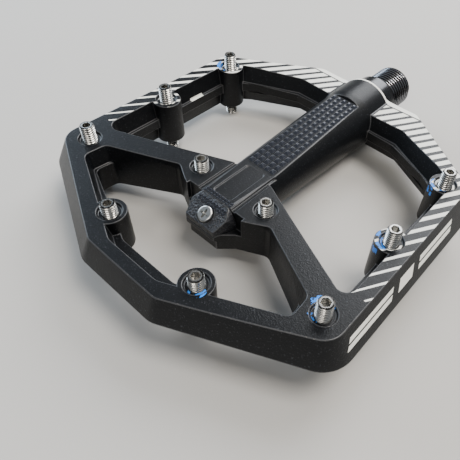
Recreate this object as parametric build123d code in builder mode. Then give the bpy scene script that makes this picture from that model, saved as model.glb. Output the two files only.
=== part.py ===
from build123d import *
import os
from math import atan, cos, degrees, radians, sin

# A flat bicycle pedal. Millimetres, +Z up. The axle runs along Y with its threaded end at +Y.
# The origin is on the axle's axis, in the plane where the axle's collar seats on the crank arm.

# --- platform outline, seen from above, at mid-height ---
half_width = 51.8            # to the ridge round the outside, at mid-height
outer_end = -110.2           # outboard end
outer_flat = 12.7            # half-length of the straight outboard end
outer_corner = -92.6         # where the outboard slant meets the side
inner_corner = -25.5         # where the side meets the inboard slant
inner_point = -2.9           # where the inboard slants would end
inner_flat = 20.2            # half-length of the straight inboard end
inner_end = -5.4             # cut square here, beside the hub
wall_lean = 26.0             # degrees the outer walls lean in, above and below mid-height

# --- concave top and bottom faces ---
centre_height = 5.9          # half-thickness on the axle
edge_height = 7.5            # half-thickness at the sides
edge_at = 48.0

# --- openings through the frame ---
ledge_height = 1.6           # half-thickness of the flange inside each opening
pocket_draft = 12.0          # degrees the walls above and below the flange lean
inboard_draft = 23.0         # the same for the walls next to the hub
pocket_mouth = edge_height + 0.4
ledge_width = 2.3
rail_inner = 43.9            # inner edge of the side rails' top face
slab = 10.0                  # more than any half-thickness

# --- traction pins ---
side_pin_x = 42.1
corner_pin_y = -85.9
middle_pin_y = -58.3
inboard_pin_y = -30.1
outer_pin_x = 15.9
outer_pin_y = -98.5
centre_pin_x = 12.0
centre_pin_y = -71.2
long_pin_spots = [(side_pin_x, corner_pin_y), (side_pin_x, middle_pin_y), (side_pin_x, inboard_pin_y)]
short_pin_spots = [(outer_pin_x, outer_pin_y), (centre_pin_x, centre_pin_y)]
pin_radius = 2.0
pin_hole_radius = 2.03
boss_radius = 4.4
rim_radius = 2.9             # floor of the recess round each pin
rim_depth = 0.8
rim_flare = 20.0             # degrees the recess opens outwards
long_pin_tip = 11.6
long_pin_length = 8.6
short_pin_tip = 8.9
short_pin_length = 6.0
pin_socket = 2.0             # across the flats of the pin's hexagon socket
pin_socket_depth = 2.2

# --- axle housing ---
hub_radius = 10.2
hub_end = -5.8
hub_start = -19.0
barrel_radius = 7.6          # at the outboard end of the housing
barrel_end = -77.3           # where the ramp to the tip begins
spine_half = 4.9             # half-width of the flat strip along the housing
spine_low = 6.1
spine_high = 8.7
tip_end = -83.7
tip_half = 5.2
tip_height = 1.6
groove_x = 6.1               # shallow grooves beside the strip
groove_floor = 5.4
panel_y = -68.6              # shallow rounded recess on the strip
panel_length = 13.6
panel_width = 6.4
panel_depth = 0.4

# --- end cap, its gasket and screw ---
cap_joint = 0.1              # half-thickness of the gasket
ramp_angle = atan((spine_low - tip_height) / (barrel_end - tip_end))
screw_y = -81.3
screw_z = tip_height + (screw_y - tip_end) * (spine_low - tip_height) / (barrel_end - tip_end)
screw_radius = 0.93
screw_length = 4.6
screw_head_radius = 2.25
screw_head_height = 1.4
screw_head_seat = 0.8

# --- axle and its bearings ---
thread_radius = 7.144        # 9/16 in - 20 thread, major diameter
thread_length = 13.0
collar_radius = 8.5
collar_length = 4.8
journal_radius = 6.0
journal_end = -24.0
seal_radius = 8.4
seal_start = -8.0
bushing_radius = 7.5
bushing_bore = 6.05
bushing_start = -24.6
bushing_floor = -25.2
mid_bore_radius = 5.2
bearing_inboard = -59.5
bearing_width = 3.0
bearing_outboard = bearing_inboard - bearing_width
bearing_y = bearing_inboard - bearing_width / 2
bearing_bore_radius = 5.0
chamber_radius = 4.5         # room for the axle bolt's head
stub_radius = 3.0
pitch_radius = 4.0
race_gap = 0.45              # from the ball circle to each race
ball_radius = 0.55
ball_track = 0.62
ball_count = 9
bolt_radius = 1.98
bolt_length = 9.0
hex_socket = 8.0             # across flats
hex_depth = 8.0


def mirrored(points):
    """Points on the right, followed by their mirror images back up the left side."""
    return points + [(-x, y) for x, y in reversed(points)]


def both_sides(points):
    """The same points on the left and on the right."""
    return [(side * x, y) for x, y in points for side in (-1, 1)]


def face_height(x):
    """Half-thickness of the concave platform at x."""
    return centre_height + (edge_height - centre_height) * (x / edge_at) ** 2


def hexagon_radius(across_flats):
    """Circumscribed radius of a hexagon from the distance across its flats."""
    return across_flats / 2 / cos(radians(30))


def y_plane(y):
    """A plane square to the axle, facing the thread."""
    return Plane(origin=(0, y, 0), x_dir=(1, 0, 0), z_dir=(0, 1, 0))


def save(piece, name):
    """Name a finished piece and write its file."""
    piece.part.label = name
    export_step(piece.part, f"parts/{name}.step")


os.makedirs("parts", exist_ok=True)
ramp_plane = Plane(origin=(0, screw_y, screw_z), x_dir=(1, 0, 0), z_dir=(0, -sin(ramp_angle), cos(ramp_angle)))
edge_pin_spots = both_sides(long_pin_spots + short_pin_spots[:1])
all_pin_spots = both_sides(long_pin_spots + short_pin_spots)

# ---------------------------------------------------------------- platform body
with BuildSketch() as outline:
    with BuildLine():
        Polyline(*mirrored([(outer_flat, outer_end), (half_width, outer_corner),
                            (half_width, inner_corner), (inner_flat, inner_point)]), close=True)
    make_face()
    fillet([v for v in outline.vertices() if abs(v.X) > half_width - 1], 9.0)
    fillet([v for v in outline.vertices() if v.Y < outer_end + 1], 7.0)
    fillet([v for v in outline.vertices() if v.Y > inner_point - 1], 6.0)

# The opening round the housing's tip: its mouth, and the narrower way through between the flanges.
with BuildSketch() as tip_mouth:
    with BuildLine():
        Polyline(*mirrored([(tip_half - 0.2, tip_end + 1), (8.6, -79.0), (16.8, -74.4), (37.0, -84.4),
                            (37.6, -91.2), (8.8, -104.4)]), close=True)
    make_face()
    fillet([v for v in tip_mouth.vertices() if abs(v.X) > 30], 2.4)
    fillet([v for v in tip_mouth.vertices() if abs(abs(v.X) - 16.8) < 0.1], 2.6)
    fillet([v for v in tip_mouth.vertices() if v.Y < -104], 4.0)

with BuildSketch() as tip_through:
    with BuildLine():
        Polyline(*mirrored([(tip_half - 0.2, tip_end + 1), (8.6, -79.2), (16.8, -75.2), (35.0, -84.8),
                            (35.4, -90.0), (9.5, -100.2)]), close=True)
    make_face()
    fillet([v for v in tip_through.vertices() if abs(v.X) > 30], 2.0)
    fillet([v for v in tip_through.vertices() if abs(abs(v.X) - 16.8) < 0.1], 2.6)
    fillet([v for v in tip_through.vertices() if v.Y < -100], 4.0)

# The openings between the housing, a strut and a side rail.
with BuildSketch() as side_mouth:
    with BuildLine():
        Polyline((4.0, -62.0), (rail_inner, -80.6), (rail_inner, -29.4), (36.0, -23.6), (20.5, -16.0),
                 (4.0, -15.6), close=True)
    make_face()
    fillet([v for v in side_mouth.vertices() if v.X > 15], 3.0)
    mirror(about=Plane.YZ)

with BuildSketch() as side_through:
    with BuildLine():
        Polyline((4.0, -62.3), (rail_inner - ledge_width, -79.2), (rail_inner - ledge_width, -31.0),
                 (33.6, -25.6), (19.4, -19.8), (4.0, -19.4), close=True)
    make_face()
    fillet([v for v in side_through.vertices() if v.X > 15], 3.0)
    mirror(about=Plane.YZ)

with BuildPart() as side_pockets:
    with BuildSketch(Plane.XY.offset(pocket_mouth)):
        add(side_mouth.sketch)
    extrude(amount=ledge_height - pocket_mouth, taper=pocket_draft)
    # Their walls next to the hub lean more than the rest.
    with BuildSketch(Plane.XY.offset(pocket_mouth)):
        with BuildLine():
            Polyline(*mirrored([(20.5, -16.0), (70.0, -40.3), (70.0, -130.0)]), close=True)
        make_face()
    extrude(amount=ledge_height - pocket_mouth, taper=inboard_draft, mode=Mode.INTERSECT)
    mirror(about=Plane.XY)

with BuildPart() as frame:
    with BuildSketch():
        add(outline.sketch)
    extrude(amount=slab, taper=wall_lean)
    with BuildSketch():
        add(outline.sketch)
    extrude(amount=-slab, taper=wall_lean)
    add(side_pockets.part, mode=Mode.SUBTRACT)
    for level in (1, -1):
        with BuildSketch(Plane.XY.offset(level * pocket_mouth)):
            add(tip_mouth.sketch)
        extrude(amount=level * (ledge_height - pocket_mouth), taper=pocket_draft, mode=Mode.SUBTRACT)
    with BuildSketch():
        add(tip_through.sketch)
        add(side_through.sketch)
    extrude(amount=slab, both=True, mode=Mode.SUBTRACT)
    # Full-height bosses for the pins round the edge.
    with BuildSketch():
        with Locations(*edge_pin_spots):
            Circle(boss_radius)
    extrude(amount=slab, both=True)
    # The top and bottom faces are hollowed along the axle, and the inboard end is cut square.
    with BuildSketch(y_plane(outer_end - 5)):
        with BuildLine():
            far = half_width + 5
            ThreePointArc((-far, face_height(far)), (0, centre_height), (far, face_height(far)))
            Line((far, face_height(far)), (far, -face_height(far)))
            ThreePointArc((far, -face_height(far)), (0, -centre_height), (-far, -face_height(far)))
            Line((-far, -face_height(far)), (-far, face_height(far)))
        make_face()
    extrude(amount=inner_end - outer_end + 5, mode=Mode.INTERSECT)

with BuildPart() as housing:
    # A round barrel that widens to the hub, flattened above and below, with a wedge-shaped tip.
    with BuildSketch(Plane.YZ):
        with BuildLine():
            Polyline((tip_end, 0), (tip_end, barrel_radius), (barrel_end, barrel_radius),
                     (hub_start, hub_radius - 0.3), (hub_start + 2.5, hub_radius),
                     (hub_end - 0.8, hub_radius), (hub_end, hub_radius - 0.8), (hub_end, 0), close=True)
        make_face()
    revolve(axis=Axis.Y)
    with BuildSketch(Plane.YZ):
        with BuildLine():
            Polyline((tip_end, tip_height), (barrel_end, spine_low), (-60.7, spine_low),
                     (hub_start - 0.6, spine_high), (hub_start, hub_radius + 1), (hub_end, hub_radius + 1),
                     (hub_end, -hub_radius - 1), (hub_start, -hub_radius - 1),
                     (hub_start - 0.6, -spine_high), (-60.7, -spine_low), (barrel_end, -spine_low),
                     (tip_end, -tip_height), close=True)
        make_face()
    extrude(amount=hub_radius + 2, both=True, mode=Mode.INTERSECT)
    with BuildSketch():
        with BuildLine():
            Polyline(*mirrored([(tip_half, tip_end), (barrel_radius - 0.2, barrel_end),
                                (hub_radius + 2, barrel_end), (hub_radius + 2, hub_end)]), close=True)
        make_face()
    extrude(amount=hub_radius + 2, both=True, mode=Mode.INTERSECT)

with BuildPart() as platform_body:
    add(frame.part)
    add(housing.part)
    # The upper half of the tip is the end cap's.
    with BuildSketch(Plane.XY.offset(-cap_joint)):
        with Locations((0, (tip_end + barrel_end) / 2)):
            Rectangle(20, barrel_end - tip_end)
    extrude(amount=slab, mode=Mode.SUBTRACT)
    # Shallow grooves beside the strip and a rounded recess on it, above and below.
    for level in (1, -1):
        with BuildSketch(Plane.XY.offset(level * groove_floor)):
            with Locations((groove_x, -69.6), (-groove_x, -69.6)):
                SlotOverall(18.0, 1.2, rotation=90)
        extrude(amount=level * 3, mode=Mode.SUBTRACT)
        with BuildSketch(Plane.XY.offset(level * (spine_low - panel_depth))):
            with Locations((0, panel_y)):
                RectangleRounded(panel_width, panel_length, 1.0)
        extrude(amount=level * 3, mode=Mode.SUBTRACT)
    # Bores from the hub: seal, bushing, clearance, outboard bearing and the bolt's chamber.
    bores = [(hub_end + 1, seal_start, seal_radius), (seal_start, bushing_floor, bushing_radius),
             (bushing_floor, bearing_inboard + 0.2, mid_bore_radius),
             (bearing_inboard + 0.2, bearing_outboard, bearing_bore_radius),
             (bearing_outboard, barrel_end, chamber_radius)]
    for start, stop, radius in bores:
        with BuildSketch(y_plane(start)):
            Circle(radius)
        extrude(amount=stop - start, mode=Mode.SUBTRACT)
    # Tapped pin holes, each with a flared recess at both mouths.
    with BuildSketch():
        with Locations(*all_pin_spots):
            Circle(pin_hole_radius)
    extrude(amount=slab, both=True, mode=Mode.SUBTRACT)
    for x, y in all_pin_spots:
        for level in (1, -1):
            with BuildSketch(Plane.XY.offset(level * (face_height(x) - rim_depth))):
                with Locations((x, y)):
                    Circle(rim_radius)
            extrude(amount=level * 2.2, taper=-rim_flare, mode=Mode.SUBTRACT)
    # Tapped hole in the lower half of the tip for the end cap's screw.
    with BuildSketch(ramp_plane):
        Circle(screw_radius + 0.02)
    extrude(amount=-screw_length - screw_head_seat - 0.1, mode=Mode.SUBTRACT)
save(platform_body, "platform_body")

# ---------------------------------------------------------------- end cap
with BuildPart() as end_cap:
    add(housing.part)
    with BuildSketch(Plane.XY.offset(cap_joint)):
        with Locations((0, (tip_end + barrel_end) / 2)):
            Rectangle(20, barrel_end - tip_end - 0.04)
    extrude(amount=slab, mode=Mode.INTERSECT)
    with BuildSketch(ramp_plane.offset(-screw_head_seat)):
        Circle(screw_head_radius + 0.15)
    extrude(amount=5, mode=Mode.SUBTRACT)
    with BuildSketch(ramp_plane):
        Circle(screw_radius + 0.12)
    extrude(amount=-8, mode=Mode.SUBTRACT)
save(end_cap, "end_cap")

with BuildPart() as end_cap_gasket:
    with BuildSketch(Plane.XY.offset(-cap_joint)):
        with BuildLine():
            Polyline(*mirrored([(tip_half - 0.5, tip_end + 0.4), (barrel_radius - 0.7, barrel_end - 0.2)]),
                     close=True)
        make_face()
    extrude(amount=2 * cap_joint)
    with BuildSketch(ramp_plane):
        Circle(screw_radius + 0.12)
    extrude(amount=-8, mode=Mode.SUBTRACT)
save(end_cap_gasket, "end_cap_gasket")

with BuildPart() as end_cap_screw:
    with BuildSketch(ramp_plane.offset(-screw_head_seat)):
        Circle(screw_head_radius)
    extrude(amount=screw_head_height)
    fillet(end_cap_screw.edges().filter_by(GeomType.CIRCLE).sort_by(Axis.Z)[-1], 0.5)
    with BuildSketch(ramp_plane.offset(-screw_head_seat)):
        Circle(screw_radius)
    extrude(amount=-screw_length)
    # Cross recess.
    with BuildSketch(ramp_plane.offset(screw_head_height - screw_head_seat)):
        Rectangle(2.6, 0.55)
        Rectangle(0.55, 2.6)
    extrude(amount=-0.9, taper=12, mode=Mode.SUBTRACT)
save(end_cap_screw, "end_cap_screw")


# ---------------------------------------------------------------- traction pins
def set_screw(length):
    """A socket set screw standing on the origin, socket upwards."""
    with BuildPart() as screw:
        with BuildSketch():
            Circle(pin_radius)
        extrude(amount=length)
        chamfer(screw.edges().filter_by(GeomType.CIRCLE), 0.3)
        with BuildSketch(Plane.XY.offset(length)):
            RegularPolygon(hexagon_radius(pin_socket), 6)
        extrude(amount=-pin_socket_depth, mode=Mode.SUBTRACT)
    return screw.part


long_pin = set_screw(long_pin_length)
short_pin = set_screw(short_pin_length)

with BuildPart() as long_pins_top:
    with Locations(*[(x, y, long_pin_tip - long_pin_length) for x, y in both_sides(long_pin_spots)]):
        add(long_pin)
save(long_pins_top, "long_pins_top")

with BuildPart() as long_pins_bottom:
    mirror(long_pins_top.part, about=Plane.XY)
save(long_pins_bottom, "long_pins_bottom")

with BuildPart() as short_pins_top:
    with Locations(*[(x, y, short_pin_tip - short_pin_length) for x, y in both_sides(short_pin_spots)]):
        add(short_pin)
save(short_pins_top, "short_pins_top")

with BuildPart() as short_pins_bottom:
    mirror(short_pins_top.part, about=Plane.XY)
save(short_pins_bottom, "short_pins_bottom")

# ---------------------------------------------------------------- axle
with BuildPart() as spindle:
    with BuildSketch(Plane.YZ):
        with BuildLine():
            Polyline((thread_length, 0), (thread_length, thread_radius - 0.9),
                     (thread_length - 0.9, thread_radius), (0, thread_radius), (0, collar_radius - 0.3),
                     (-0.3, collar_radius), (0.3 - collar_length, collar_radius),
                     (-collar_length, collar_radius - 0.3), (-collar_length, journal_radius),
                     (journal_end, journal_radius), (journal_end - 1.0, 4.8), (-58.0, 3.9),
                     (bearing_inboard, 3.5), (bearing_inboard, stub_radius),
                     (bearing_outboard + 0.1, stub_radius), (bearing_outboard + 0.1, 0), close=True)
        make_face()
    revolve(axis=Axis.Y)
    with BuildSketch(y_plane(thread_length)):
        RegularPolygon(hexagon_radius(hex_socket), 6)
    extrude(amount=-hex_depth, mode=Mode.SUBTRACT)
    with BuildSketch(y_plane(bearing_outboard)):
        Circle(bolt_radius + 0.02)
    extrude(amount=bolt_length, mode=Mode.SUBTRACT)
save(spindle, "spindle")

with BuildPart() as spindle_o_ring:
    with BuildSketch(Plane.YZ):
        with Locations((-collar_length - 0.34, journal_radius + 0.35)):
            Circle(0.33)
    revolve(axis=Axis.Y)
save(spindle_o_ring, "spindle_o_ring")

with BuildPart() as axle_washer:
    with BuildSketch(y_plane(bearing_outboard)):
        Circle(3.5)
        Circle(bolt_radius + 0.12, mode=Mode.SUBTRACT)
    extrude(amount=-0.8)
save(axle_washer, "axle_washer")

with BuildPart() as axle_bolt:
    head_start = bearing_outboard - 0.8
    with BuildSketch(y_plane(head_start)):
        Circle(3.5)
    extrude(amount=-2.8)
    chamfer(axle_bolt.edges().sort_by(Axis.Y)[0], 0.3)
    with BuildSketch(y_plane(head_start)):
        Circle(bolt_radius)
    extrude(amount=bolt_length)
    with BuildSketch(y_plane(head_start - 2.8)):
        RegularPolygon(hexagon_radius(3.0), 6)
    extrude(amount=2.0, mode=Mode.SUBTRACT)
save(axle_bolt, "axle_bolt")

# ---------------------------------------------------------------- hub seal and bushing
with BuildPart() as hub_seal:
    with BuildSketch(y_plane(hub_end - 0.1)):
        Circle(seal_radius - 0.02)
        Circle(journal_radius + 0.06, mode=Mode.SUBTRACT)
    extrude(amount=seal_start - hub_end + 0.2)
    # Groove behind the sealing lip.
    with BuildSketch(y_plane(hub_end - 0.1)):
        Circle(seal_radius - 0.8)
        Circle(journal_radius + 0.6, mode=Mode.SUBTRACT)
    extrude(amount=-1.2, mode=Mode.SUBTRACT)
save(hub_seal, "hub_seal")

with BuildPart() as plain_bushing:
    with BuildSketch(y_plane(seal_start - 0.1)):
        Circle(bushing_radius - 0.02)
        Circle(bushing_bore, mode=Mode.SUBTRACT)
    extrude(amount=bushing_start - seal_start + 0.1)
save(plain_bushing, "plain_bushing")


# ---------------------------------------------------------------- outboard ball bearing
def race(inner, outer):
    """A bearing ring between two radii, with the ball track cut into it."""
    with BuildPart() as ring:
        with BuildSketch(y_plane(bearing_inboard)):
            Circle(outer)
            Circle(inner, mode=Mode.SUBTRACT)
        extrude(amount=-bearing_width)
        with BuildSketch(Plane.YZ):
            with Locations((bearing_y, pitch_radius)):
                Circle(ball_track)
        revolve(axis=Axis.Y, mode=Mode.SUBTRACT)
    return ring


def shield(y):
    """A thin disc that closes the gap between the races at y."""
    with BuildPart() as disc:
        with BuildSketch(y_plane(y)):
            Circle(pitch_radius + race_gap - 0.01)
            Circle(pitch_radius - race_gap + 0.15, mode=Mode.SUBTRACT)
        extrude(amount=-0.2)
    return disc


save(race(stub_radius + 0.01, pitch_radius - race_gap), "bearing_inner_race")
save(race(pitch_radius + race_gap, bearing_bore_radius - 0.01), "bearing_outer_race")
save(shield(bearing_inboard - 0.1), "bearing_shield_inboard")
save(shield(bearing_outboard + 0.3), "bearing_shield_outboard")

with BuildPart() as bearing_balls:
    with Locations(y_plane(bearing_y)):
        with PolarLocations(pitch_radius, ball_count):
            Sphere(ball_radius)
save(bearing_balls, "bearing_balls")

with BuildPart() as bearing_cage:
    with BuildSketch(y_plane(bearing_y - 0.8)):
        Circle(pitch_radius + 0.15)
        Circle(pitch_radius - 0.15, mode=Mode.SUBTRACT)
    extrude(amount=1.6)
    with Locations(y_plane(bearing_y)):
        with PolarLocations(pitch_radius, ball_count):
            Cylinder(ball_track, 1.0, rotation=(0, 90, 0), mode=Mode.SUBTRACT)
save(bearing_cage, "bearing_cage")
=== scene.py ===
from math import atan2, cos, hypot, pi, radians, sin, tan

import bmesh
import bpy
from mathutils import Matrix, Vector


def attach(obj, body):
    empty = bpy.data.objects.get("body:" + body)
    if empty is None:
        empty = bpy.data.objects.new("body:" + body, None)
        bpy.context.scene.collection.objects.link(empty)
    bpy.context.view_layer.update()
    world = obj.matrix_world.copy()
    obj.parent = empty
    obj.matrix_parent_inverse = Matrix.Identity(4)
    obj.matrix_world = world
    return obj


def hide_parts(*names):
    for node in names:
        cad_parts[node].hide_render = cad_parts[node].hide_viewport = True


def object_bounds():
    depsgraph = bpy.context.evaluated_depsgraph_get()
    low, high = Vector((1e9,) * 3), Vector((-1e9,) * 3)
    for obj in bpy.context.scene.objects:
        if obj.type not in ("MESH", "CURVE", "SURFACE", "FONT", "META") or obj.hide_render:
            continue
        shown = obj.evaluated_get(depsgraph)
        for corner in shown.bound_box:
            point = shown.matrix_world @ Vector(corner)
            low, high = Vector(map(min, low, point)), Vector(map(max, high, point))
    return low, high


# A flat bicycle pedal. Metres, +Z up. The axle runs along Y, with its threaded end at +Y.
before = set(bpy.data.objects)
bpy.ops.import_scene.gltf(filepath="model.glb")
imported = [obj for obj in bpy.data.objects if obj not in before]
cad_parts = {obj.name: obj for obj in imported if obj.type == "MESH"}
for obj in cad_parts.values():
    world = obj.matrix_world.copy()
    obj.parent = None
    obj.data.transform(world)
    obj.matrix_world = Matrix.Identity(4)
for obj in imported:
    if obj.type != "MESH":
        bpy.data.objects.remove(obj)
cad_low, cad_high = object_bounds()

# Sizes are in millimetres here, and become metres where a mesh is built.
MM = 0.001
CRISP_ANGLE = radians(32)    # edges of threaded pieces sharper than this stay crisp

# --- traction pins: M4 socket set screws ---
PIN_RADIUS = 2.0
PIN_PITCH = 0.7
PIN_CUT = 0.36               # depth of the thread
PIN_SOCKET = 2.0             # across flats
PIN_SOCKET_DEPTH = 2.2
PIN_SOCKET_REACH = 1.5       # the socket lies within this radius
PIN_SOCKET_SHADE_RADIUS = 1.85       # the socket gets the painted shade that a groove has at this radius
PIN_SEGMENTS = 24
SIDE_PIN_X = 42.1
SIDE_PIN_YS = (-85.9, -58.3, -30.1)
SHORT_PIN_PAIRS = ((15.9, -98.5), (12.0, -71.2))
LONG_TIP, LONG_LENGTH = 11.6, 8.6
SHORT_TIP, SHORT_LENGTH = 8.9, 6.0
PIN_TURNS = (10, 47, 85, 22, 63, 38, 5, 71)      # degrees, so that the sockets don't line up

# --- axle: 9/16 in - 20 thread ---
AXLE_RADIUS = 7.144
AXLE_PITCH = 1.27
AXLE_CUT = 0.72
AXLE_END = 13.0
AXLE_SOCKET = 8.0            # across flats
AXLE_SOCKET_DEPTH = 8.0
AXLE_SEGMENTS = 72
AXLE_PLAIN_DARKENING_RADIUS = 6.9       # the plain part has the tone that a groove has at this radius

# --- housing: the strip that rises to the hub, and the ramp of the tip ---
STRIP_START, STRIP_END = -60.7, -19.6
STRIP_LOW, STRIP_HIGH = 6.1, 8.7
RAMP_TOP, RAMP_FOOT = -77.3, -83.7
RAMP_FOOT_HEIGHT = 1.6
STRIP_LEAN = atan2(STRIP_HIGH - STRIP_LOW, STRIP_END - STRIP_START)
RAMP_LEAN = atan2(STRIP_LOW - RAMP_FOOT_HEIGHT, RAMP_TOP - RAMP_FOOT)

# --- white graphics; a pair is a low and a high limit ---
TREAD_HEIGHTS = (5.6, 7.6)
TREAD_FACING = 0.96          # how squarely a face of the tread points up or down
STRIPE_PITCH = 3.12
STRIPE_TURN = radians(58)
STRIPE_START = 15.4          # one stripe's distance from the origin, across the stripes
STRIPE_SPAN = (-77.5, -8.4)
STRIPE_NARROW = (-78.0, 0.22)        # y and half width
STRIPE_WIDE = (-12.0, 0.98)
STRIPE_STRUT_Y = -26.0       # inboard of this the stripes cross the struts as well as the rails
STRIPE_RAIL_X = 37.0
STRIPE_HUB_X = 9.0
EDGE_LINE_Y = -7.9
EDGE_LINE_XS = (9.0, 21.5)
HUB_LINE_Y, HUB_LINE_HEIGHT, HUB_LINE_X = -7.4, 5.0, 9.6
LABEL_XS, LABEL_YS, LABEL_HEIGHTS = (-43.2, -41.7), (-48.6, -43.4), (1.0, 2.2)
WALL_X = 48.2
BAR_SLANT = -0.75
BAR_ROWS = ((2.5, 3.6), (4.0, 5.1))
BAR_RUNS = ((-89.4, -71.8), (-59.4, -42.5))
BLOCK_ROW, BLOCK_RUN = (2.5, 5.1), (-68.8, -62.4)

# --- blue thread-locker: x, y and reach of each smear ---
RESIDUE_SPOTS = (
    (17.4, -99.6, 2.2),
    (40.8, -85.2, 3.3),
    (40.4, -59.2, 3.3),
    (-43.2, -30.9, 3.2),
    (40.9, -31.6, 2.6),
)
RESIDUE_HEIGHT = 4.0         # only above this


# ---------------------------------------------------------------- shared helpers
def new_object(name, mesh):
    piece = bpy.data.objects.new(name, mesh)
    bpy.context.scene.collection.objects.link(piece)
    return piece


def paint(piece, *materials):
    piece.data.materials.clear()
    for material in materials:
        piece.data.materials.append(material)
    return piece


def place(name, points, faces, body, *materials):
    """A finished piece made from points and faces, riding with a moving body."""
    mesh = bpy.data.meshes.new(name)
    mesh.from_pydata([tuple(point) for point in points], [], faces)
    mesh.shade_smooth()
    piece = paint(new_object(name, mesh), *materials)
    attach(piece, body)
    return piece


# ---------------------------------------------------------------- shader nodes
def set_socket(tree, socket, value):
    """Link a socket to another, or give it a plain value."""
    if isinstance(value, bpy.types.NodeSocket):
        tree.links.new(value, socket)
    else:
        socket.default_value = value


def add_node(tree, kind, **inputs):
    node = tree.nodes.new(kind)
    for key, value in inputs.items():
        set_socket(tree, node.inputs[key.replace("_", " ")], value)
    return node


def calculate(tree, operation, first, second=0.0, third=0.0):
    """A Math node on sockets or numbers."""
    node = tree.nodes.new("ShaderNodeMath")
    node.operation = operation
    for socket, value in zip(node.inputs, (first, second, third)):
        set_socket(tree, socket, value)
    return node.outputs[0]


def blend_colours(tree, share, first, second):
    node = tree.nodes.new("ShaderNodeMix")
    node.data_type = "RGBA"
    for index, value in ((0, share), (6, first), (7, second)):
        set_socket(tree, node.inputs[index], value)
    return node.outputs[2]


def above(tree, value, limit):
    return calculate(tree, "GREATER_THAN", value, limit)


def below(tree, value, limit):
    return calculate(tree, "LESS_THAN", value, limit)


def all_of(tree, *masks):
    """1 only where every mask is 1."""
    total = masks[0]
    for mask in masks[1:]:
        total = calculate(tree, "MULTIPLY", total, mask)
    return total


def any_of(tree, *masks):
    """1 where at least one mask is 1."""
    total = masks[0]
    for mask in masks[1:]:
        total = calculate(tree, "MAXIMUM", total, mask)
    return total


def band(tree, value, low, high):
    """1 where a value lies between two limits, else 0."""
    return all_of(tree, above(tree, value, low), below(tree, value, high))


def node_group(name, inputs, outputs):
    """A node group with named sockets; returns it with its input and output nodes."""
    group = bpy.data.node_groups.new(name, "ShaderNodeTree")
    for label, kind, value in inputs:
        socket = group.interface.new_socket(label, in_out="INPUT", socket_type=kind)
        socket.default_value = value
    for label in outputs:
        group.interface.new_socket(label, in_out="OUTPUT", socket_type="NodeSocketFloat")
    return group, add_node(group, "NodeGroupInput"), add_node(group, "NodeGroupOutput")


# ---------------------------------------------------------------- effects that materials share
def grain_group():
    """Blasted or cast grain: fine speckle and slower blotches, as masks and a height."""
    group, inside, outside = node_group(
        "grain",
        [("Vector", "NodeSocketVector", (0, 0, 0)), ("Scale", "NodeSocketFloat", 3000.0),
         ("Blotch Scale", "NodeSocketFloat", 120.0)],
        ["Speckle", "Blotch", "Height"])
    where = inside.outputs["Vector"]
    scale = inside.outputs["Scale"]
    fine = add_node(group, "ShaderNodeTexNoise", Vector=where, Scale=scale, Detail=3.0, Roughness=0.6)
    blotches = inside.outputs["Blotch Scale"]
    slow = add_node(group, "ShaderNodeTexNoise", Vector=where, Scale=blotches, Detail=4.0)
    cells = add_node(group, "ShaderNodeTexVoronoi", Vector=where, Scale=scale)
    speckle = add_node(group, "ShaderNodeMapRange", Value=fine.outputs["Fac"], From_Min=0.6, From_Max=0.8)
    pits = calculate(group, "MULTIPLY", cells.outputs["Distance"], 0.5)
    height = calculate(group, "ADD", fine.outputs["Fac"], pits)
    group.links.new(speckle.outputs["Result"], outside.inputs["Speckle"])
    group.links.new(slow.outputs["Fac"], outside.inputs["Blotch"])
    group.links.new(height, outside.inputs["Height"])
    return group


def stripe_mask(group, x, y, tread):
    """Slanted stripes on the tread: their spacing is even and their width grows towards the hub."""
    back = calculate(group, "MULTIPLY", y, -cos(STRIPE_TURN))
    across = calculate(group, "MULTIPLY_ADD", x, sin(STRIPE_TURN), back)
    offset = calculate(group, "SUBTRACT", across, STRIPE_START)
    from_middle = calculate(group, "PINGPONG", offset, STRIPE_PITCH / 2)
    half_width = add_node(group, "ShaderNodeMapRange", Value=y, From_Min=STRIPE_NARROW[0],
                          From_Max=STRIPE_WIDE[0], To_Min=STRIPE_NARROW[1], To_Max=STRIPE_WIDE[1])
    line = below(group, from_middle, half_width.outputs["Result"])
    side_x = calculate(group, "ABSOLUTE", x)
    members = any_of(group, above(group, y, STRIPE_STRUT_Y), above(group, side_x, STRIPE_RAIL_X))
    beside_hub = above(group, side_x, STRIPE_HUB_X)
    return all_of(group, line, tread, members, beside_hub, band(group, y, *STRIPE_SPAN))


def bar_mask(group, side_x, y, z):
    """Two rows of bars on each side wall, cut off at a slant, and a plain slanted block in their gap."""
    wall = all_of(group, above(group, side_x, WALL_X), above(group, z, 0.0))
    slant = calculate(group, "MULTIPLY_ADD", z, BAR_SLANT, y)
    rows = any_of(group, *[band(group, z, *row) for row in BAR_ROWS])
    runs = any_of(group, *[band(group, slant, *run) for run in BAR_RUNS])
    block = all_of(group, band(group, z, *BLOCK_ROW), band(group, slant, *BLOCK_RUN))
    return all_of(group, wall, any_of(group, all_of(group, rows, runs), block))


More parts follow.
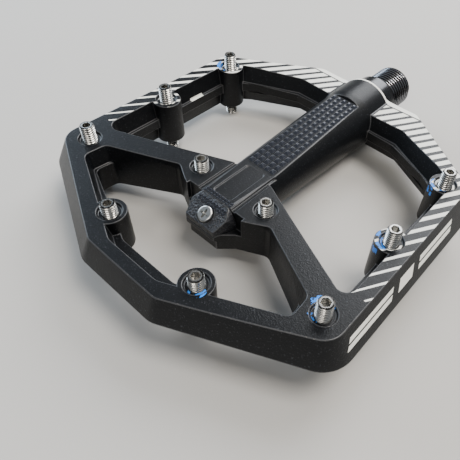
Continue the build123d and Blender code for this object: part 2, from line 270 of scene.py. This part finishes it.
def graphics_group():
    """All the white graphics on the platform body, as one mask, worked out in millimetres."""
    group, inside, outside = node_group(
        "graphics",
        [("Vector", "NodeSocketVector", (0, 0, 0)), ("Normal", "NodeSocketVector", (0, 0, 1))],
        ["Mask"])
    spot = add_node(group, "ShaderNodeSeparateXYZ", Vector=inside.outputs["Vector"])
    facing = add_node(group, "ShaderNodeSeparateXYZ", Vector=inside.outputs["Normal"])
    x, y, z = [calculate(group, "MULTIPLY", spot.outputs[axis], 1 / MM) for axis in "XYZ"]
    side_x = calculate(group, "ABSOLUTE", x)
    half_z = calculate(group, "ABSOLUTE", z)
    level = calculate(group, "ABSOLUTE", facing.outputs["Z"])
    tread = all_of(group, band(group, half_z, *TREAD_HEIGHTS), above(group, level, TREAD_FACING))
    stripes = stripe_mask(group, x, y, tread)
    bars = bar_mask(group, side_x, y, z)
    # The line along the inboard edge, and the one over the mouth of the hub.
    edge_line = all_of(group, tread, above(group, y, EDGE_LINE_Y), band(group, side_x, *EDGE_LINE_XS))
    hub_line = all_of(group, above(group, y, HUB_LINE_Y), above(group, half_z, HUB_LINE_HEIGHT),
                      below(group, side_x, HUB_LINE_X))
    # A small blank label on the flange inside one side rail.
    label = all_of(group, band(group, x, *LABEL_XS), band(group, y, *LABEL_YS),
                   band(group, z, *LABEL_HEIGHTS))
    white = any_of(group, stripes, bars, label, edge_line, hub_line)
    group.links.new(white, outside.inputs["Mask"])
    return group


def residue_group():
    """Blue thread-locker smeared round some of the pins, as a mask."""
    group, inside, outside = node_group("residue", [("Vector", "NodeSocketVector", (0, 0, 0))], ["Mask"])
    where = inside.outputs["Vector"]
    patches = add_node(group, "ShaderNodeTexNoise", Vector=where, Scale=420.0, Detail=3.0)
    spot = add_node(group, "ShaderNodeSeparateXYZ", Vector=where)
    near = []
    for x, y, reach in RESIDUE_SPOTS:
        from_x = calculate(group, "SUBTRACT", spot.outputs["X"], x * MM)
        from_y = calculate(group, "SUBTRACT", spot.outputs["Y"], y * MM)
        square_x = calculate(group, "MULTIPLY", from_x, from_x)
        square_y = calculate(group, "MULTIPLY", from_y, from_y)
        near.append(below(group, calculate(group, "ADD", square_x, square_y), (reach * MM) ** 2))
    upper = above(group, spot.outputs["Z"], RESIDUE_HEIGHT * MM)
    smear = all_of(group, any_of(group, *near), upper, above(group, patches.outputs["Fac"], 0.5))
    group.links.new(smear, outside.inputs["Mask"])
    return group


GRAIN = grain_group()
GRAPHICS = graphics_group()
RESIDUE = residue_group()


# ---------------------------------------------------------------- materials
def finish_material(name, colour, roughness, metallic=0.0, grain_scale=3000.0, speckle=0.1,
                    speckle_colour=None, relief=0.1, relief_depth=0.02, specular=0.5):
    """A metal, paint or plastic finish with grain in its colour, roughness and relief.

    The depth of the relief is in millimetres.
    """
    roughness_spread = 0.1
    material = bpy.data.materials.new(name)
    material.use_nodes = True
    tree = material.node_tree
    shader = tree.nodes["Principled BSDF"]
    where = add_node(tree, "ShaderNodeTexCoord")
    grain = tree.nodes.new("ShaderNodeGroup")
    grain.node_tree = GRAIN
    tree.links.new(where.outputs["Object"], grain.inputs["Vector"])
    grain.inputs["Scale"].default_value = grain_scale
    base = (*colour, 1.0)
    bright = (*(speckle_colour or [min(1.0, part * 2 + 0.05) for part in colour]), 1.0)
    dark = (*[part * 0.8 for part in colour], 1.0)
    slow = blend_colours(tree, grain.outputs["Blotch"], dark, base)
    share = calculate(tree, "MULTIPLY", grain.outputs["Speckle"], speckle)
    tree.links.new(blend_colours(tree, share, slow, bright), shader.inputs["Base Color"])
    rough = calculate(tree, "MULTIPLY_ADD", grain.outputs["Blotch"], roughness_spread,
                      roughness - roughness_spread / 2)
    tree.links.new(rough, shader.inputs["Roughness"])
    bump = add_node(tree, "ShaderNodeBump", Strength=relief, Distance=relief_depth * MM)
    tree.links.new(grain.outputs["Height"], bump.inputs["Height"])
    tree.links.new(bump.outputs["Normal"], shader.inputs["Normal"])
    shader.inputs["Metallic"].default_value = metallic
    shader.inputs["Specular IOR Level"].default_value = specular
    return material


def add_layer(material, group, colour, roughness):
    """Lay a masked colour over a material's own colour and roughness."""
    tree = material.node_tree
    shader = tree.nodes["Principled BSDF"]
    where = add_node(tree, "ShaderNodeTexCoord")
    mask = tree.nodes.new("ShaderNodeGroup")
    mask.node_tree = group
    tree.links.new(where.outputs["Object"], mask.inputs["Vector"])
    if "Normal" in mask.inputs:
        tree.links.new(where.outputs["Normal"], mask.inputs["Normal"])
    shown = mask.outputs["Mask"]
    under = shader.inputs["Base Color"].links[0].from_socket
    tree.links.new(blend_colours(tree, shown, under, colour), shader.inputs["Base Color"])
    rough = shader.inputs["Roughness"].links[0].from_socket
    bare = calculate(tree, "SUBTRACT", 1.0, shown)
    mixed = calculate(tree, "MULTIPLY_ADD", shown, roughness, calculate(tree, "MULTIPLY", bare, rough))
    tree.links.new(mixed, shader.inputs["Roughness"])


def darken_grooves(material, share):
    """Darken a threaded material towards the root of its thread: painted shade in the grooves."""
    tree = material.node_tree
    shader = tree.nodes["Principled BSDF"]
    cut = tree.nodes.new("ShaderNodeAttribute")
    cut.attribute_name = "groove"
    amount = calculate(tree, "MULTIPLY", cut.outputs["Fac"], share)
    under = shader.inputs["Base Color"].links[0].from_socket
    # Near-black colour of the painted shade in the thread grooves and sockets.
    painted_groove_shade = (0.01, 0.009, 0.008, 1)
    tree.links.new(blend_colours(tree, amount, under, painted_groove_shade), shader.inputs["Base Color"])


WHITE_INK = (0.85, 0.84, 0.78, 1)
THREAD_LOCKER = (0.02, 0.22, 0.75, 1)

FRAME_BLACK = finish_material("frame_black", (0.0045, 0.005, 0.006), 0.36, grain_scale=2400.0,
                              speckle=0.7, speckle_colour=(0.085, 0.09, 0.105),
                              relief=0.8, relief_depth=0.05, specular=0.22)
# The rounded edges are lighter than the frame: partly painted highlight (the lighter base colour), partly
# wear (the pale flecks).
FRAME_EDGE = finish_material("frame_edge", (0.035, 0.036, 0.039), 0.35, speckle=0.5,
                             speckle_colour=(0.4, 0.38, 0.34))
KNURL_BLACK = finish_material("knurl_black", (0.035, 0.04, 0.055), 0.3, metallic=0.4, speckle=0.4,
                              speckle_colour=(0.4, 0.42, 0.5), specular=0.8)
CAP_BLACK = finish_material("cap_black", (0.012, 0.0125, 0.016), 0.34, grain_scale=1900.0, speckle=0.8,
                            speckle_colour=(0.2, 0.21, 0.25), relief=1.0, relief_depth=0.3)
PIN_STEEL = finish_material("pin_steel", (0.9, 0.88, 0.83), 0.27, metallic=1.0)
SCREW_STEEL = finish_material("screw_steel", (0.7, 0.7, 0.68), 0.3, metallic=1.0)
AXLE_STEEL = finish_material("axle_steel", (0.4, 0.41, 0.44), 0.24, metallic=0.9)
BEARING_STEEL = finish_material("bearing_steel", (0.75, 0.75, 0.76), 0.15, metallic=1.0)
SHIELD_STEEL = finish_material("shield_steel", (0.6, 0.6, 0.62), 0.35, metallic=1.0)
BUSHING = finish_material("bushing_plastic", (0.5, 0.43, 0.26), 0.6, speckle=0.3)
RUBBER = finish_material("seal_rubber", (0.015, 0.015, 0.016), 0.65)
NYLON = finish_material("cage_nylon", (0.65, 0.62, 0.52), 0.5)

add_layer(FRAME_BLACK, GRAPHICS, WHITE_INK, 0.5)
add_layer(FRAME_BLACK, RESIDUE, THREAD_LOCKER, 0.4)
add_layer(FRAME_EDGE, GRAPHICS, WHITE_INK, 0.5)
# Painted shade in the thread grooves of the pins and the axle.
darken_grooves(PIN_STEEL, 1.2)
darken_grooves(AXLE_STEEL, 2.6)

# Pieces whose CAD shape is right as it is.
KEPT_NODES = {
    SCREW_STEEL: ("end_cap_screw", "axle_washer", "axle_bolt"),
    RUBBER: ("end_cap_gasket", "hub_seal", "spindle_o_ring"),
    BEARING_STEEL: ("bearing_outer_race", "bearing_inner_race", "bearing_balls"),
    SHIELD_STEEL: ("bearing_shield_inboard", "bearing_shield_outboard"),
    BUSHING: ("plain_bushing",),
    NYLON: ("bearing_cage",),
}
for material, names in KEPT_NODES.items():
    for name in names:
        paint(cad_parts[name], material)


# ---------------------------------------------------------------- frame and end cap
def eased_copy(node, width, *materials):
    """A CAD node's shape with its sharp edges rounded over; the rounding takes the last material."""
    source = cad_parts[node]
    weld_reach = 0.000002
    flat_within = radians(0.3)
    cage = bmesh.new()
    cage.from_mesh(source.data)
    cage.transform(source.matrix_world)
    bmesh.ops.remove_doubles(cage, verts=cage.verts, dist=weld_reach)
    bmesh.ops.dissolve_limit(cage, angle_limit=flat_within, verts=cage.verts, edges=cage.edges)
    bmesh.ops.recalc_face_normals(cage, faces=cage.faces)
    cage.verts.index_update()
    points = [vert.co.copy() for vert in cage.verts]
    faces = [[vert.index for vert in face.verts] for face in cage.faces]
    cage.free()
    piece = place(f"{node}_finished", points, faces, "platform", *materials)
    bevel = piece.modifiers.new("edges", "BEVEL")
    bevel.width = width * MM
    bevel.segments = 2
    bevel.limit_method = "ANGLE"
    bevel.angle_limit = radians(28)
    bevel.use_clamp_overlap = False
    bevel.material = len(materials) - 1
    normals = piece.modifiers.new("normals", "WEIGHTED_NORMAL")
    normals.keep_sharp = True
    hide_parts(node)


eased_copy("platform_body", 0.22, FRAME_BLACK, FRAME_EDGE)
eased_copy("end_cap", 0.2, CAP_BLACK, FRAME_EDGE)


# ---------------------------------------------------------------- knurling
def pyramid_grid(name, corner_y, corner_z, lean, grid, pitch, height, flat):
    """Rows of blunt pyramids across the housing, on a face that rises towards +Y, top and bottom.

    The corner is the middle of the first pyramid. The grid and the pitch are given across, then along.
    The flat top of a pyramid is given as a share of its foot.
    """
    along = Vector((0, cos(lean), sin(lean)))
    across = Vector((1, 0, 0))
    up = across.cross(along)
    columns, rows = grid
    corner = Vector((-(columns - 1) / 2 * pitch[0], corner_y, corner_z))
    sunk = 0.1
    filled = 0.92                # share of the pitch that a pyramid's foot takes up
    points = []
    for size, lift in ((filled / 2, -sunk), (filled / 2 * flat, height)):
        for u, v in ((-1, -1), (1, -1), (1, 1), (-1, 1)):
            offset = across * (u * size * pitch[0]) + along * (v * size * pitch[1])
            points.append((corner + offset + up * lift) * MM)
    sides = [(index, (index + 1) % 4, 4 + (index + 1) % 4, 4 + index) for index in range(4)]
    piece = place(name, points, [(3, 2, 1, 0), (4, 5, 6, 7)] + sides, "platform", KNURL_BLACK)
    piece.data.shade_flat()
    for count, move in ((columns, across * pitch[0]), (rows, along * pitch[1])):
        array = piece.modifiers.new("array", "ARRAY")
        array.count = count
        array.use_relative_offset = False
        array.use_constant_offset = True
        array.constant_offset_displace = move * MM
    copy_below = piece.modifiers.new("below", "MIRROR")
    copy_below.use_axis = (False, False, True)
    copy_below.use_clip = False
    copy_below.use_mirror_merge = False


pyramid_grid("strip_knurl", STRIP_START + 1.3, STRIP_LOW + 1.3 * tan(STRIP_LEAN), STRIP_LEAN,
             grid=(5, 19), pitch=(1.95, 2.15), height=0.62, flat=0.3)
pyramid_grid("tip_knurl", RAMP_TOP + 0.55, STRIP_LOW, 0.0,
             grid=(9, 2), pitch=(1.1, 0.9), height=0.3, flat=0.35)
pyramid_grid("cap_knurl", RAMP_TOP - 1.9, STRIP_LOW - 1.9 * tan(RAMP_LEAN), RAMP_LEAN,
             grid=(9, 2), pitch=(1.1, 0.9), height=0.3, flat=0.35)


# ---------------------------------------------------------------- threaded pieces
def hexagon(across_flats, angle):
    """Distance from the centre to a hexagon's edge at an angle."""
    return across_flats / 2 / cos((angle % (pi / 3)) - pi / 6)


def thread_depth(height, angle, pitch, depth):
    """How far a right-hand thread is cut in at a height and angle; crest and root are a little flat."""
    phase = (height / pitch - angle / (2 * pi)) % 1.0
    ramp = 1 - abs(2 * phase - 1)
    return depth * min(1.0, max(0.0, 1.3 * ramp - 0.12))


def ring(segments, height, radius):
    """One ring of points round +Z; the radius is a number or a function of the angle."""
    points = []
    for index in range(segments):
        angle = 2 * pi * index / segments
        size = radius(angle) if callable(radius) else radius
        points.append(Vector((size * cos(angle), size * sin(angle), height)))
    return points


def threaded_rings(segments, low, high, radius, pitch, depth, chamfer):
    """Rings of a thread between two heights, six to a turn, tapering off at the top."""
    steps = round((high - low) / pitch * 6)
    rings = []
    for step in range(steps + 1):
        height = low + (high - low) * step / steps
        limit = radius - max(0.0, chamfer - (high - height))
        rings.append(ring(segments, height, lambda angle: min(
            limit, radius - thread_depth(height, angle, pitch, depth))))
    return rings


def socket_rings(segments, top, across_flats, lead_in, drop, floor):
    """Rings of a hexagon socket: its flared mouth, its straight top and its floor."""
    return [ring(segments, top, lambda angle: hexagon(across_flats, angle) + lead_in),
            ring(segments, top - drop, lambda angle: hexagon(across_flats, angle)),
            ring(segments, floor, lambda angle: hexagon(across_flats, angle))]


def skin(rings):
    """Points and outward faces through a stack of rings, closed at both ends."""
    count = len(rings[0])
    points = [point for circle in rings for point in circle]
    faces = [tuple(reversed(range(count)))]
    for level in range(len(rings) - 1):
        first, second = level * count, (level + 1) * count
        for index in range(count):
            after = (index + 1) % count
            faces.append((first + index, first + after, second + after, second + index))
    faces.append(tuple(range((len(rings) - 1) * count, len(rings) * count)))
    return points, faces


def mark_grooves(piece, distances, radius, depth):
    """Store how deep each point lies below the thread's crest, from 0 to 1."""
    shares = [max(0.0, min(1.0, (radius - distance) / depth)) for distance in distances]
    # The material paints shade in the grooves by this share.
    grooves = piece.data.attributes.new("groove", "FLOAT", "POINT")
    grooves.data.foreach_set("value", shares)


def pin_rings(length):
    """A socket set screw on the origin, socket upwards, in millimetres."""
    foot = [ring(PIN_SEGMENTS, 0.0, PIN_RADIUS - 0.4), ring(PIN_SEGMENTS, 0.3, PIN_RADIUS - 0.3)]
    thread = threaded_rings(PIN_SEGMENTS, 0.35, length, PIN_RADIUS, PIN_PITCH, PIN_CUT, chamfer=0.3)
    socket = socket_rings(PIN_SEGMENTS, length, PIN_SOCKET, lead_in=0.12, drop=0.15,
                          floor=length - PIN_SOCKET_DEPTH)
    return foot + thread + socket


def build_pins(node, spots, tip, length, top):
    """All the pins of one node, each turned a little differently."""
    shape_points, shape_faces = skin(pin_rings(length))
    distances = [hypot(point.x, point.y) for point in shape_points]
    # Points of the socket get painted shade, as a groove does at a set radius.
    distances = [distance if distance > PIN_SOCKET_REACH else PIN_SOCKET_SHADE_RADIUS for distance in distances]
    points, faces = [], []
    for number, (x, y) in enumerate(spots):
        spin = Matrix.Rotation(radians(PIN_TURNS[number % len(PIN_TURNS)]), 4, "Z")
        if top:
            move = Matrix.Translation((x, y, tip - length)) @ spin
        else:
            move = Matrix.Translation((x, y, length - tip)) @ Matrix.Rotation(pi, 4, "X") @ spin
        start = len(points)
        points += [(move @ point) * MM for point in shape_points]
        faces += [tuple(start + index for index in face) for face in shape_faces]
    piece = place(f"{node}_threaded", points, faces, "platform", PIN_STEEL)
    piece.data.set_sharp_from_angle(angle=CRISP_ANGLE)
    mark_grooves(piece, distances * len(spots), PIN_RADIUS, PIN_CUT)
    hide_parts(node)


LONG_SPOTS = [(side * SIDE_PIN_X, y) for y in SIDE_PIN_YS for side in (-1, 1)]
SHORT_SPOTS = [(side * x, y) for x, y in SHORT_PIN_PAIRS for side in (-1, 1)]
for end, top in (("top", True), ("bottom", False)):
    build_pins(f"long_pins_{end}", LONG_SPOTS, LONG_TIP, LONG_LENGTH, top)
    build_pins(f"short_pins_{end}", SHORT_SPOTS, SHORT_TIP, SHORT_LENGTH, top)


def build_axle():
    """The axle from its bolt hole to its threaded end, turned about +Z and then laid along +Y."""
    bolt_hole = [(-53.5, 2.0), (-62.4, 2.0)]
    stub = [(-62.4, 3.0), (-59.5, 3.0), (-59.5, 3.5), (-58.0, 3.9), (-25.0, 4.8)]
    journal = [(-24.0, 6.0), (-4.8, 6.0)]
    collar = [(-4.8, 8.2), (-4.5, 8.5), (-0.3, 8.5), (0.0, 8.2)]
    relief = [(0.0, 6.45), (0.6, 6.3)]
    profile = bolt_hole + stub + journal + collar + relief
    rings = [ring(AXLE_SEGMENTS, height, radius) for height, radius in profile]
    rings += threaded_rings(AXLE_SEGMENTS, 0.7, AXLE_END, AXLE_RADIUS, AXLE_PITCH, AXLE_CUT, chamfer=0.9)
    rings += socket_rings(AXLE_SEGMENTS, AXLE_END, AXLE_SOCKET, lead_in=0.25, drop=0.25,
                          floor=AXLE_END - AXLE_SOCKET_DEPTH)
    shape_points, faces = skin(rings)
    stand = Matrix.Rotation(-pi / 2, 4, "X")
    points = [(stand @ point) * MM for point in shape_points]
    axle = place("spindle_threaded", points, faces, "spindle", AXLE_STEEL)
    axle.data.set_sharp_from_angle(angle=CRISP_ANGLE)
    distances = [hypot(point.x, point.y) if 0.6 < point.z < AXLE_END - 0.1 else AXLE_PLAIN_DARKENING_RADIUS
                 for point in shape_points]
    mark_grooves(axle, distances, AXLE_RADIUS, AXLE_CUT)
    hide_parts("spindle")


build_axle()


# ---------------------------------------------------------------- floor, light and camera
def lay_floor(height):
    """A plain pale floor under the pins."""
    reach = 3
    mesh = bpy.data.meshes.new("floor")
    corners = [(x * reach, y * reach, height) for x, y in ((-1, -1), (1, -1), (1, 1), (-1, 1))]
    mesh.from_pydata(corners, [], [(0, 1, 2, 3)])
    floor = new_object("floor", mesh)
    floor_paint = bpy.data.materials.new("floor_paint")
    floor_paint.use_nodes = True
    shader = floor_paint.node_tree.nodes["Principled BSDF"]
    shader.inputs["Base Color"].default_value = (0.5, 0.485, 0.46, 1)
    shader.inputs["Roughness"].default_value = 0.8
    paint(floor, floor_paint)


def light_studio():
    """Dim cool light from all round."""
    world = bpy.data.worlds.new("studio")
    bpy.context.scene.world = world
    world.use_nodes = True
    sky = world.node_tree.nodes["Background"]
    sky.inputs["Color"].default_value = (0.85, 0.92, 1.0, 1)
    sky.inputs["Strength"].default_value = 0.26


def soft_light(name, spot, width, height, power, colour):
    """A rectangular lamp that faces the middle of the platform."""
    middle = Vector((0, -0.055, 0))
    data = bpy.data.lights.new(name, "AREA")
    data.shape = "RECTANGLE"
    data.size = width
    data.size_y = height
    data.energy = power
    data.color = colour
    light = bpy.data.objects.new(name, data)
    bpy.context.scene.collection.objects.link(light)
    light.location = spot
    light.rotation_mode = "QUATERNION"
    light.rotation_quaternion = (middle - Vector(spot)).to_track_quat("-Z", "Y")


def aim_camera():
    """The camera stands beside the outboard end and looks down on the tread."""
    azimuth, elevation, roll = radians(35.711), radians(47.287), radians(5.913)
    back = Vector((sin(azimuth) * cos(elevation), -cos(azimuth) * cos(elevation), sin(elevation)))
    level = Vector((cos(azimuth), sin(azimuth), 0))
    rise = back.cross(level)
    right = level * cos(roll) + rise * sin(roll)
    up = rise * cos(roll) - level * sin(roll)
    data = bpy.data.cameras.new("camera")
    camera = bpy.data.objects.new("camera", data)
    bpy.context.scene.collection.objects.link(camera)
    spot = (0.06719, -0.13559, 0.09729)
    facing = Matrix((right, up, back)).transposed().to_4x4()
    camera.matrix_world = Matrix.Translation(spot) @ facing
    data.sensor_width = 36.0
    data.lens = 37.73
    data.shift_x = -0.1383
    data.shift_y = -0.0365
    data.clip_start = 0.005
    bpy.context.scene.camera = camera


lay_floor(cad_low.z)
light_studio()
soft_light("window", (-0.6, -0.05, 0.24), width=0.6, height=0.3, power=4.0, colour=(0.7, 0.84, 1.0))
soft_light("ceiling", (-0.1, 0.5, 0.5), width=0.5, height=0.4, power=7.0, colour=(0.95, 0.97, 1.0))
soft_light("lamp", (0.3, 0.1, 0.8), width=0.4, height=0.4, power=8.0, colour=(1.0, 0.95, 0.88))
soft_light("front", (0.15, -0.6, 0.55), width=0.3, height=0.2, power=1.6, colour=(1.0, 0.95, 0.88))
aim_camera()
